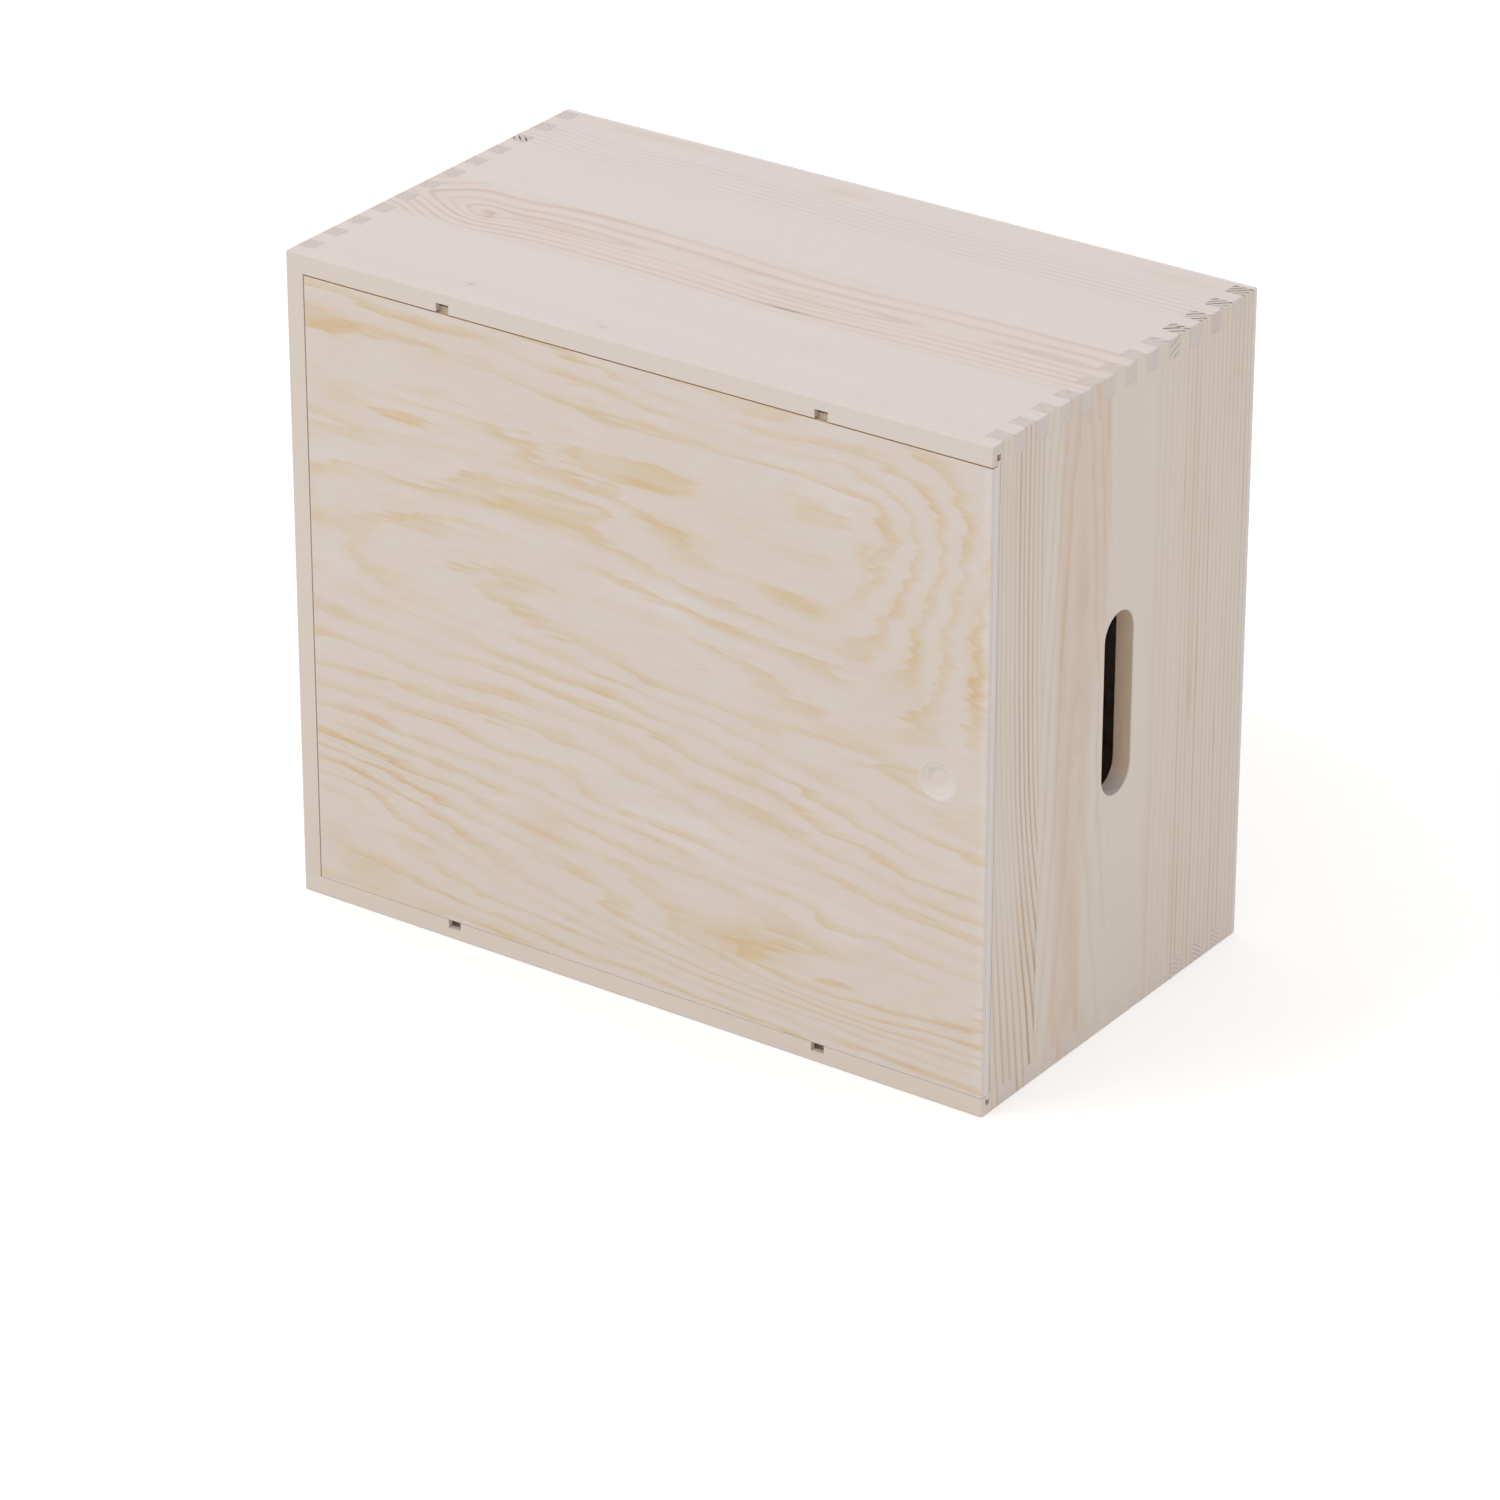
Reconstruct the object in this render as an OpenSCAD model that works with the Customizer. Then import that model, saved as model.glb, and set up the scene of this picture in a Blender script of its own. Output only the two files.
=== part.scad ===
// Wooden wine box for six bottles: a finger-jointed pine carcass with a thin plywood back, a plywood
// lid that slides out to the right, and two dividers of three plates each.
// The origin is the middle of the underside. X runs along the lid's travel, Y from the front to the
// back and Z up. The lid is the front face.

/* [Box] */
// Outside width, along the lid's travel
box_width = 360; // [320:1:440]
// Outside depth, from the lid's face to the back panel's face
box_depth = 203; // [196:1:260]
// Outside height
box_height = 307; // [300:1:380]
// Thickness of the four pine boards
board_thickness = 9; // [7:0.5:14]
// Thickness of the plywood back panel
back_thickness = 3.5; // [2:0.5:6]

/* [Finger joints] */
// Number of side-board fingers along each corner
finger_count = 12; // [5:1:16]
// Width of the top and bottom boards' front finger, which carries the lid's groove
front_finger = 7.5; // [7:0.5:12]

/* [Lid] */
// Thickness of the plywood lid
lid_thickness = 5.5; // [5:0.25:6]
// Thickness of the lip in front of each lid groove
lip_thickness = 3; // [2:0.25:3.5]
// Depth of the lid groove into the boards
groove_depth = 4.5; // [3.5:0.25:5]
// Length of the lid's tongue past the edge of its face
tongue_length = 2.2; // [1.5:0.1:3]
// Clearance in front of the lid's tongue and behind the lid
lid_clearance = 0.25; // [0.15:0.05:0.5]
// Gap between the lid's face and the lips above it and at its left
lid_gap = 0.6; // [0.3:0.1:1]
// Clearance under the lid's face, where it stands on the bottom lip
lid_foot_gap = 0.2; // [0.1:0.05:0.3]

/* [Pull recess] */
// Diameter of the round pull recess in the lid's face
recess_diameter = 18; // [12:1:24]
// Depth of the pull recess
recess_depth = 2.2; // [1:0.1:3]
// Distance from the recess's centre to the lid's right end
recess_inset = 24.5; // [15:0.5:60]
// How far the recess's centre is below the middle of the lid
recess_drop = 2; // [0:0.5:40]

/* [Handle slots] */
// Length of the handle slot in each side board
handle_length = 85; // [70:1:120]
// Width of the handle slot
handle_width = 22.5; // [18:0.5:34]

/* [Dividers] */
// Thickness of the divider plates
divider_thickness = 6; // [4:0.5:9]
// Distance between the middles of the two dividers
divider_spacing = 193; // [120:1:230]
// Depth of the dividers' cross grooves in the top and bottom boards
dado_depth = 4; // [2.5:0.25:5]
// Clearance on each side of a divider plate in its cross groove
dado_clearance = 0.3; // [0.15:0.05:0.5]
// Clearance above the divider plates, which stand on the lower groove's floor
divider_headroom = 0.6; // [0.3:0.1:1.5]
// Gap between the lid's back face and the front divider plates
divider_setback = 2.5; // [1:0.25:3]

/* [Bottle holes] */
// Diameter of the holes for the bottles' bodies
body_hole = 91.5; // [70:0.5:92]
// Diameter of the holes for the bottles' necks
neck_hole = 35.5; // [28:0.5:50]
// Height left between the outermost body holes and the top and bottom boards
row_margin = 2.25; // [1:0.25:6]
// Wood left in front of the front column's body holes
front_margin = 3.5; // [1.5:0.25:6]
// Wood left behind the back column's body holes
back_margin = 6; // [2:0.25:8]

/* [Hidden] */

// How far a cutting shape runs past the face that it opens
over = 1;
// Facets given to round shapes
round_fn = 96;

// Planes of the carcass
front_y = -box_depth/2;
carcass_back = box_depth/2 - back_thickness;
carcass_depth = carcass_back - front_y;
inside_low = board_thickness;
inside_high = box_height - board_thickness;
right_face = box_width/2;
left_face = -box_width/2;
inside_left = left_face + board_thickness;

// Planes of the lid and its groove
groove_front = front_y + lip_thickness;
groove_back = front_y + lid_thickness + lid_clearance;
lid_low = inside_low + lid_foot_gap;
lid_high = inside_high - lid_gap;
lid_left = inside_left + lid_gap;

// The side boards' fingers and the gaps between them are all as wide as each other
finger_width = (carcass_depth - front_finger)/(2*finger_count - 1);
finger_start = front_y + front_finger;

// Planes of the dividers
dado_width = divider_thickness + 2*dado_clearance;
divider_front = groove_back + divider_setback;
divider_low = inside_low - dado_depth;
divider_high = inside_high + dado_depth - divider_headroom;

// Lines that the bottle holes are centred on
row_count = 3;
low_row = inside_low + row_margin + body_hole/2;
high_row = inside_high - row_margin - body_hole/2;
front_column = divider_front + front_margin + body_hole/2;
back_column = carcass_back - back_margin - body_hole/2;

pine = [0.86, 0.79, 0.71];
pale_pine = [0.88, 0.82, 0.77];
plywood = [0.84, 0.77, 0.68];
divider_wood = [0.82, 0.74, 0.62];

// A block between two corners
module block(low, high) {
    translate(low)
        cube(high - low);
}

// One side finger's whole run from the underside to the top, for each finger
module finger_blocks(low_x, high_x, low_z, high_z) {
    for (k = [0 : finger_count - 1]) {
        finger_y = finger_start + 2*k*finger_width;
        block([low_x, finger_y, low_z], [high_x, finger_y + finger_width, high_z]);
    }
}

// The sockets that the side boards' fingers fill at both ends of a horizontal board
module finger_sockets(low_z, high_z) {
    finger_blocks(left_face - over, inside_left, low_z - over, high_z + over);
    finger_blocks(-inside_left, right_face + over, low_z - over, high_z + over);
}

// The bottom board, and the top board before it is turned over
module horizontal_board() {
    difference() {
        block([left_face, front_y, 0], [right_face, carcass_back, board_thickness]);
        finger_sockets(0, board_thickness);
        // Lid groove, open at the right end
        block([inside_left - groove_depth, groove_front, board_thickness - groove_depth],
              [right_face + over, groove_back, board_thickness + over]);
        // Cross grooves for the dividers, open through the front lip
        for (side = [-1, 1]) {
            middle_x = side*divider_spacing/2;
            block([middle_x - dado_width/2, front_y - over, divider_low],
                  [middle_x + dado_width/2, carcass_back + over, board_thickness + over]);
        }
    }
}

module bottom_board() {
    color(pine)
        horizontal_board();
}

module top_board() {
    color(pale_pine)
        translate([0, 0, box_height])
            mirror([0, 0, 1])
                horizontal_board();
}

// Round-ended handle slot through a side board whose faces are at low_x and high_x
module handle_slot(low_x, high_x) {
    middle_y = (front_y + carcass_back)/2;
    middle_z = box_height/2;
    straight = handle_length - handle_width;
    block([low_x - over, middle_y - handle_width/2, middle_z - straight/2],
          [high_x + over, middle_y + handle_width/2, middle_z + straight/2]);
    for (end = [-1, 1]) {
        translate([low_x - over, middle_y, middle_z + end*straight/2])
            rotate([0, 90, 0])
                cylinder(h = high_x - low_x + 2*over, d = handle_width, $fn = round_fn);
    }
}

// A side board between low_x and high_x, with its front edge at edge_y
module side_board(low_x, high_x, edge_y) {
    difference() {
        union() {
            block([low_x, edge_y, inside_low], [high_x, carcass_back, inside_high]);
            finger_blocks(low_x, high_x, 0, box_height);
        }
        handle_slot(low_x, high_x);
    }
}

module left_side() {
    color(pine)
        difference() {
            side_board(left_face, inside_left, front_y);
            // Lid groove, from the bottom board's groove to the top board's
            block([inside_left - groove_depth, groove_front, inside_low - over],
                  [inside_left + over, groove_back, inside_high + over]);
        }
}

module right_side() {
    color(pine)
        side_board(-inside_left, right_face, groove_back);
}

module back_panel() {
    color(plywood)
        block([left_face, carcass_back, 0], [right_face, box_depth/2, box_height]);
}

// The dished pull recess, as a ball that cuts a circle of the recess's diameter in the lid's face
module recess_ball() {
    ball_radius = (pow(recess_diameter/2, 2) + pow(recess_depth, 2))/(2*recess_depth);
    translate([right_face - recess_inset, front_y + recess_depth - ball_radius,
               (lid_low + lid_high)/2 - recess_drop])
        sphere(r = ball_radius, $fn = round_fn);
}

module sliding_lid() {
    color(plywood)
        difference() {
            union() {
                block([lid_left, front_y, lid_low], [right_face, front_y + lid_thickness, lid_high]);
                // Tongue along the top, bottom and left edges
                block([lid_left - tongue_length, groove_front + lid_clearance, lid_low - tongue_length],
                      [right_face, front_y + lid_thickness, lid_high + tongue_length]);
            }
            recess_ball();
        }
}

// One column of holes, with a body hole where the row's number plus first is even
module hole_column(column_y, low_x, first) {
    for (row = [0 : row_count - 1]) {
        hole = (row + first) % 2 == 0 ? body_hole : neck_hole;
        row_z = low_row + (high_row - low_row)*row/(row_count - 1);
        translate([low_x - over, column_y, row_z])
            rotate([0, 90, 0])
                cylinder(h = divider_thickness + 2*over, d = hole, $fn = round_fn);
    }
}

// One plate of a divider, between low_y and high_y, with the half-round cuts of both columns.
// side is -1 for the left divider and 1 for the right one, which has the other order of holes.
module divider_plate(side, low_y, high_y) {
    low_x = side*divider_spacing/2 - divider_thickness/2;
    left_divider = side < 0 ? 1 : 0;
    color(divider_wood)
        difference() {
            block([low_x, low_y, divider_low], [low_x + divider_thickness, high_y, divider_high]);
            hole_column(front_column, low_x, left_divider);
            hole_column(back_column, low_x, 1 - left_divider);
        }
}

module left_divider_front() {
    divider_plate(-1, divider_front, front_column);
}

module left_divider_middle() {
    divider_plate(-1, front_column, back_column);
}

module left_divider_back() {
    divider_plate(-1, back_column, carcass_back);
}

module right_divider_front() {
    divider_plate(1, divider_front, front_column);
}

module right_divider_middle() {
    divider_plate(1, front_column, back_column);
}

module right_divider_back() {
    divider_plate(1, back_column, carcass_back);
}

top_board();
bottom_board();
left_side();
right_side();
back_panel();
sliding_lid();
left_divider_front();
left_divider_middle();
left_divider_back();
right_divider_front();
right_divider_middle();
right_divider_back();
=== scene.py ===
"""Looks of the wooden wine box: eased boards, grain, the dished lid, the plywood plates and the stage.

The file is laid out as a Blender add-on and is run as a script."""

import math

import bmesh
import bpy
from mathutils import Matrix, Vector


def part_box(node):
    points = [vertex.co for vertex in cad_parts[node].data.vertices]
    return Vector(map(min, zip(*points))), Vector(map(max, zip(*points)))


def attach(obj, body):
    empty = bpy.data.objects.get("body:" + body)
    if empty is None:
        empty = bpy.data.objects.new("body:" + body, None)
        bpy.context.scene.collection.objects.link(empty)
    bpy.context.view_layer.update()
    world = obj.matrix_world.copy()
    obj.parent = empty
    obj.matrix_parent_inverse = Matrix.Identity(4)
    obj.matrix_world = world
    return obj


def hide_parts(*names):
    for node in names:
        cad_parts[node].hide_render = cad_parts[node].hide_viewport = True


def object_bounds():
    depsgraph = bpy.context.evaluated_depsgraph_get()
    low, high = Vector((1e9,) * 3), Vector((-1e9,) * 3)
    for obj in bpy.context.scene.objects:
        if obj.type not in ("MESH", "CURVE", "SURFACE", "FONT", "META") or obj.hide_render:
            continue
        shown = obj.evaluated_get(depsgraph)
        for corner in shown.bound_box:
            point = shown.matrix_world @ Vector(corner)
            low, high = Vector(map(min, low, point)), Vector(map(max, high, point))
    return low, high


bl_info = {
    "name": "Wooden wine box",
    "version": (1, 0, 0),
    "blender": (4, 5, 0),
    "location": "3D View > Sidebar > Wine box",
    "description": "Dresses the boards, lid and dividers of a finger-jointed wine box",
    "category": "Object",
}

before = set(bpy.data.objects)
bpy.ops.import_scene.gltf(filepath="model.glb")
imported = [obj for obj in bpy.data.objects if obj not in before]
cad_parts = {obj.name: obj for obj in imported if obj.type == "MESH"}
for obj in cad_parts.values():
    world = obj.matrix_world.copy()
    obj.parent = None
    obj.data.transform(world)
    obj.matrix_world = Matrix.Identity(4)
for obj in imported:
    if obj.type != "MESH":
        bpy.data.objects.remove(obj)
CAD_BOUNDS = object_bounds()
LOW, HIGH = Vector(CAD_BOUNDS[0]), Vector(CAD_BOUNDS[1])
CARCASS_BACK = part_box("back_panel")[0].y
LID_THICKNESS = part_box("sliding_lid")[1].y - LOW.y
DIVIDERS = [
    side + "_divider_" + plate
    for side in ("left", "right") for plate in ("front", "middle", "back")
]

# Points closer to each other than JOIN are one, and points this near a plane lie on it
JOIN = 2e-6
ON_PLANE = 1e-5
# Front edges longer than this run along the lid's seam, and are eased by this much
SEAM_LENGTH = 0.05
SEAM_SHARP = 0.00003
# Edges this near the middle of a side board, front to back and up, are the handle slot's
SLOT_NEAR = (0.02, 0.06)
# Faces of a merged piece are flat up to this angle, and edges smooth up to this one, in degrees
FLAT_ANGLE = 0.5
SMOOTH_ANGLE = 12
EASE_SEGMENTS = 2

# Grain is worked out in millimetres, and object coordinates are in metres
MM = 1000.0


def written(red, green, blue):
    """A colour given in 0 to 255 screen values, as Blender's linear colour."""
    def linear(value):
        value /= 255
        return value / 12.92 if value <= 0.04045 else ((value + 0.055) / 1.055) ** 2.4
    return (linear(red), linear(green), linear(blue), 1.0)


# Shader sums

def find_socket(sockets, key):
    """A socket by its place, its identifier or its name."""
    if isinstance(key, int):
        return sockets[key]
    for socket in sockets:
        if socket.identifier == key:
            return socket
    return sockets[key]


class Wire:
    """An output in a material's node tree. Sums of wires and numbers add Math nodes."""

    def __init__(self, tree, socket=None):
        self.tree = tree
        self.socket = socket

    def node(self, kind, settings=None, sockets=None, output=0):
        """A node of any kind: its settings are made first, then its sockets' values or links."""
        node = self.tree.nodes.new(kind)
        for key, value in (settings or {}).items():
            setattr(node, key, value)
        for key, value in (sockets or {}).items():
            socket = find_socket(node.inputs, key)
            if isinstance(value, Wire):
                self.tree.links.new(value.socket, socket)
            else:
                socket.default_value = value
        return Wire(self.tree, find_socket(node.outputs, output)) if node.outputs else None

    def math(self, operation, *values):
        return self.node("ShaderNodeMath", {"operation": operation}, dict(enumerate(values)))

    def __add__(self, other):
        return self.math("ADD", self, other)

    def __radd__(self, other):
        return self.math("ADD", other, self)

    def __sub__(self, other):
        return self.math("SUBTRACT", self, other)

    def __rsub__(self, other):
        return self.math("SUBTRACT", other, self)

    def __mul__(self, other):
        return self.math("MULTIPLY", self, other)

    def __truediv__(self, other):
        return self.math("DIVIDE", self, other)

    def __neg__(self):
        return self.math("MULTIPLY", self, -1.0)

    def __abs__(self):
        return self.math("ABSOLUTE", self)

    def least(self, other):
        return self.math("MINIMUM", self, other)

    def most(self, other):
        return self.math("MAXIMUM", self, other)

    def held(self):
        """Held between 0 and 1."""
        return self.most(0.0).least(1.0)

    def part(self):
        """What is left after the whole number."""
        return self.math("FRACT", self)

    def whole(self):
        return self.math("FLOOR", self)

    def root(self):
        return self.math("SQRT", self)

    def above(self, edge):
        return self.math("GREATER_THAN", self, edge)

    def rise(self, start, end):
        """A smooth step from 0 at start to 1 at end; end may be the lower one."""
        if start > end:
            return 1.0 - self.rise(end, start)
        return self.node("ShaderNodeMapRange", {"interpolation_type": "SMOOTHSTEP"},
                         {"Value": self, "From Min": start, "From Max": end})

    def hump(self, middle, spread):
        """A smooth hump of height 1 around middle."""
        away = (self - middle) * (1.0 / spread)
        return self.math("EXPONENT", -(away * away))

    def hill(self, other, middle, spread):
        """A smooth hill of height 1 in the plane of self and other."""
        across = self.math("MULTIPLY_ADD", self, 1.0 / spread[0], -middle[0] / spread[0])
        up = self.math("MULTIPLY_ADD", other, 1.0 / spread[1], -middle[1] / spread[1])
        away = self.math("MULTIPLY_ADD", across, across, up * up)
        return self.math("POWER", math.exp(-1.0), away)

    def hills(self, other, places):
        """The sum of hills and hollows, each given by its middle, its spread and its height."""
        total = 0.0
        for middle, spread, height in places:
            total = self.math("MULTIPLY_ADD", self.hill(other, middle, spread), height, total)
        return total

    def noise(self, place, detail=2.0, roughness=0.5):
        """Noise about 0, from about -1 to 1, at a place given as three sums."""
        at = self.node("ShaderNodeCombineXYZ", None, dict(enumerate(place)))
        fac = self.node("ShaderNodeTexNoise", {"noise_dimensions": "3D"},
                        {"Vector": at, "Scale": 1.0, "Detail": detail, "Roughness": roughness})
        return (fac - 0.5) * 2.0

    def mix(self, low, high):
        """Colour low where self is 0 and high where it is 1."""
        return self.node("ShaderNodeMix", {"data_type": "RGBA"},
                         {"Factor_Float": self, "A_Color": low, "B_Color": high}, "Result_Color")


def new_material(name):
    """An empty material, its tree's first wire and the places x, y and z in millimetres."""
    material = bpy.data.materials.new(name)
    material.use_nodes = True
    tree = material.node_tree
    tree.nodes.clear()
    start = Wire(tree)
    place = start.node("ShaderNodeTexCoord", None, None, "Object")
    scaled = start.node("ShaderNodeVectorMath", {"operation": "SCALE"}, {0: place, "Scale": MM})
    split = start.node("ShaderNodeSeparateXYZ", None, {0: scaled}, 0).socket.node
    return material, start, [Wire(tree, split.outputs[axis]) for axis in range(3)]


# A surface starts to count as facing along an axis at the first of these, and counts fully at the
# second, where 1 is square on
SQUARELY = (0.55, 0.8)
# The shades that darken and lighten the wood along its fibres, and that of the pores in a cut end
FIBRE_DARK = (0.35, 0.22, 0.12, 1.0)
PINE_LIGHT = (1.0, 0.97, 0.93, 1.0)
PLY_LIGHT = (1.0, 0.97, 0.95, 1.0)
PORE = (0.25, 0.15, 0.10, 1.0)
# How deep the fibres are cut, in metres
PINE_BUMP = 0.00006
PLY_BUMP = 0.00005


def facing(start, axis):
    """How squarely the surface faces along an axis, from 0 to 1."""
    normal = start.node("ShaderNodeNewGeometry", None, None, "True Normal")
    direction = [1.0 if number == axis else 0.0 for number in range(3)]
    turned = start.node("ShaderNodeVectorMath", {"operation": "DOT_PRODUCT"},
                        {0: normal, 1: direction}, "Value")
    return abs(turned)


def streaked(colour, shade, light):
    """A colour that darkens where shade is above 0 and turns towards light where it is below."""
    colour = shade.most(0.0).mix(colour, FIBRE_DARK)
    return (-shade).most(0.0).mix(colour, light)


def pored(colour, speck):
    """A colour with the fine dark pores of wood that is cut across."""
    return (0.02 + speck * 0.05).most(0.0).mix(colour, PORE)


def finish_wood(start, colour, roughness, height, depth):
    """Ends a wood material: height in 0 to 1 is cut depth metres deep."""
    bump = start.node("ShaderNodeBump", None,
                      {"Strength": 1.0, "Distance": depth, "Height": height})
    shader = start.node("ShaderNodeBsdfPrincipled", None, {
        "Base Color": colour, "Roughness": roughness, "Normal": bump,
        "Specular IOR Level": 0.3, "IOR": 1.45,
    })
    start.node("ShaderNodeOutputMaterial", None, {"Surface": shader})


# Settings

class WineBoxCarcass(bpy.types.PropertyGroup):
    """Sizes of the eased edges and joints."""
    arris: bpy.props.FloatProperty(
        name="Arris", description="How far the box's outer edges are eased",
        default=0.0008, min=0.0001, max=0.002, unit="LENGTH")
    slot_edge: bpy.props.FloatProperty(
        name="Slot edge", description="How far the handle slots' edges are eased",
        default=0.0005, min=0.0001, max=0.002, unit="LENGTH")
    seam: bpy.props.FloatProperty(
        name="Seam", description="How far the edges along a joint are broken",
        default=0.00012, min=0.00002, max=0.0005, unit="LENGTH")


class WineBoxWood(bpy.types.PropertyGroup):
    """Colours of the bare wood."""
    top_pine: bpy.props.FloatVectorProperty(
        name="Top pine", description="Colour between the rings of the top board",
        subtype="COLOR", size=4, min=0, max=1, default=written(221, 211, 206))
    side_pine: bpy.props.FloatVectorProperty(
        name="Side pine", description="Colour between the rings of the side and bottom boards",
        subtype="COLOR", size=4, min=0, max=1, default=written(224, 212, 200))
    ring: bpy.props.FloatVectorProperty(
        name="Ring", description="Colour of the dark late wood of the pine boards",
        subtype="COLOR", size=4, min=0, max=1, default=written(208, 180, 148))
    knot: bpy.props.FloatVectorProperty(
        name="Knot", description="Colour of the pin knots and resin streaks of the pine boards",
        subtype="COLOR", size=4, min=0, max=1, default=written(120, 84, 66))
    plywood: bpy.props.FloatVectorProperty(
        name="Plywood", description="Colour between the bands of the lid and the back panel",
        subtype="COLOR", size=4, min=0, max=1, default=written(220, 208, 198))
    band: bpy.props.FloatVectorProperty(
        name="Band", description="Colour of the amber bands of the lid and the back panel",
        subtype="COLOR", size=4, min=0, max=1, default=written(214, 191, 150))
    divider: bpy.props.FloatVectorProperty(
        name="Divider", description="Colour between the bands of the divider plates",
        subtype="COLOR", size=4, min=0, max=1, default=written(214, 197, 172))
    divider_band: bpy.props.FloatVectorProperty(
        name="Divider band", description="Colour of the bands of the divider plates",
        subtype="COLOR", size=4, min=0, max=1, default=written(196, 170, 132))


class WineBoxStage(bpy.types.PropertyGroup):
    """Light and camera."""
    sky: bpy.props.FloatProperty(
        name="Sky", description="Strength of the even light from all round",
        default=0.86, min=0, max=2)
    lens: bpy.props.FloatProperty(
        name="Lens", description="Focal length of the camera", default=165.727, min=20, max=400,
        unit="CAMERA")


# Pieces

def merged_copy(node):
    """A bmesh of a CAD node with its loose triangles joined into whole faces."""
    shape = bmesh.new()
    shape.from_mesh(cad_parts[node].data)
    bmesh.ops.remove_doubles(shape, verts=shape.verts, dist=JOIN)
    bmesh.ops.dissolve_limit(shape, angle_limit=math.radians(FLAT_ANGLE),
                             use_dissolve_boundaries=False, verts=shape.verts,
                             edges=shape.edges, delimit={"NORMAL"})
    return shape


def on_plane(edge, axis, place):
    return all(abs(vert.co[axis] - place) < ON_PLANE for vert in edge.verts)


def outer_planes(edge):
    """How many of the whole box's outer faces an edge lies on."""
    return sum(on_plane(edge, axis, limit[axis]) for axis in range(3) for limit in (LOW, HIGH))


def lip_edge(edge):
    """The width of the long front edges along the lid's seam, which are nearly sharp."""
    along_seam = on_plane(edge, 1, LOW.y) and outer_planes(edge) == 1
    return SEAM_SHARP if along_seam and edge.calc_length() > SEAM_LENGTH else None


def ease_edges(shape, carcass, widths=lip_edge):
    """Marks how far each edge is eased: by widths(edge), or else as an arris or a seam."""
    weights = shape.edges.layers.float.new("bevel_weight_edge")
    for edge in shape.edges:
        if len(edge.link_faces) != 2:
            continue
        angle = edge.calc_face_angle(0.0)
        edge.smooth = angle < math.radians(SMOOTH_ANGLE)
        if edge.smooth or not edge.is_convex:
            continue
        width = widths(edge)
        if width is None:
            width = carcass.arris if outer_planes(edge) > 1 else carcass.seam
        edge[weights] = width / carcass.arris


def place_piece(shape, node, material, carcass):
    """Makes the piece that stands for a CAD node and rides with it."""
    for face in shape.faces:
        face.smooth = True
    mesh = bpy.data.meshes.new(node + "_wood")
    shape.to_mesh(mesh)
    shape.free()
    piece = bpy.data.objects.new(node + "_wood", mesh)
    bpy.context.scene.collection.objects.link(piece)
    mesh.materials.append(material)
    bevel = piece.modifiers.new("Eased edges", "BEVEL")
    bevel.width = carcass.arris
    bevel.segments = EASE_SEGMENTS
    bevel.limit_method = "WEIGHT"
    bevel.use_clamp_overlap = False
    bevel.harden_normals = True
    bevel.miter_outer = "MITER_SHARP"
    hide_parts(node)
    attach(piece, "lid" if node == "sliding_lid" else "box")


# Pine

def ring_line(rings, rise=0.22, fall=0.42):
    """The late wood of each year: a line at every whole number, sharp below and soft above."""
    year = (rings + rise).part()
    return year.rise(0.0, rise) * year.rise(rise + fall, rise)


def pine_wood(name, wood, base, along_axis, log):
    """Solid pine. log gives, for a place, the rings, how strong they are, and a tint's share."""
    material, start, place = new_material(name)
    facts = log(start, place)
    along, across, depth = facts["along"], facts["across"], facts["depth"]
    end = facing(start, along_axis).rise(*SQUARELY)

    # Fibres: long, thin and faint, and short specks where they are cut across
    fibre = start.noise((along * 0.03, across * 2.4, depth * 2.4), 3.0, 0.6)
    hair = start.noise((along * 0.12, across * 7.0, depth * 7.0), 2.0, 0.6)
    cloud = start.noise((along * 0.012 + 5.0, across * 0.05, depth * 0.05), 2.0)
    speck = start.noise((across * 5.0, depth * 5.0, along * 0.2), 2.0, 0.7)

    rings = facts["rings"]
    year = start.noise((facts["number"] * 0.73 + 11.0, along * 0.006, across * 0.01), 1.0)
    line = ring_line(rings) * (0.85 + year * 0.7).most(0.15)
    side_share = (line * facts["strength"]).least(1.0)
    end_share = (line * line * facts["end_strength"] * 1.3).least(1.0)

    front = facing(start, 1).rise(*SQUARELY)
    colour = facts["tint_share"].mix(base, facts["tint"])
    colour = (front * 0.6).mix(colour, facts["edge"])
    colour = side_share.mix(colour, facts["ring"])
    colour = (facts["amber"] * (0.35 + line * 0.25 + fibre * 0.2)).mix(colour, wood.ring[:])
    colour = (facts["brown"] * (0.6 + line * 0.4)).mix(colour, wood.knot[:])
    colour = streaked(colour, fibre * 0.035 + hair * 0.02 + cloud * 0.035, PINE_LIGHT)
    cut = end_share.mix(facts["end_base"], facts["end_ring"])
    colour = end.mix(colour, pored(cut, speck))

    # Only the fibres stand in the bump, because it works out its height three times at each point
    height = 0.5 + hair * 0.25 + fibre * 0.25
    rough = 0.55 + line * 0.06 + end * 0.15 + hair * 0.04
    finish_wood(start, colour, rough, height, PINE_BUMP)
    return material


# The middle of the top board's heart, from the front edge, and the width of its rings before and
# behind it, in millimetres
TOP_HEART = 89.0
RING_BEFORE = 4.7
RING_BEHIND = 8.5
# The closed loops in the heart: middle, spread and height of each
TOP_LOOPS = (
    ((-136, 83), (9, 8), 1.1), ((-96, 87), (34, 6), 0.8), ((46, 84), (36, 5), 0.8),
    ((150, 92), (26, 5), 0.4),
)
# Where the top board is amber, and the brown streak and pin knots
TOP_AMBER = (
    ((-97, 87), (17, 3.5), 0.9), ((-22, 190), (14, 4), 0.7), ((38, 82), (18, 3), 0.7),
    ((123, 90), (6, 3), 0.7), ((-125, 196), (40, 3), 0.6), ((150, 191), (16, 4), 0.6),
    ((-10, 93), (22, 2.5), 0.5), ((-95, 108), (28, 2), 0.6), ((40, 70), (34, 2.5), 0.6),
    ((-134, 82), (4, 4), 0.9),
)
TOP_BROWN = (
    ((31, 69), (9, 1.1), 0.5), ((-93, 15), (2.2, 3), 0.2), ((-20, 10), (2.5, 1.8), 0.22),
    ((-132, 82), (1.7, 3.4), 0.3),
)


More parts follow.
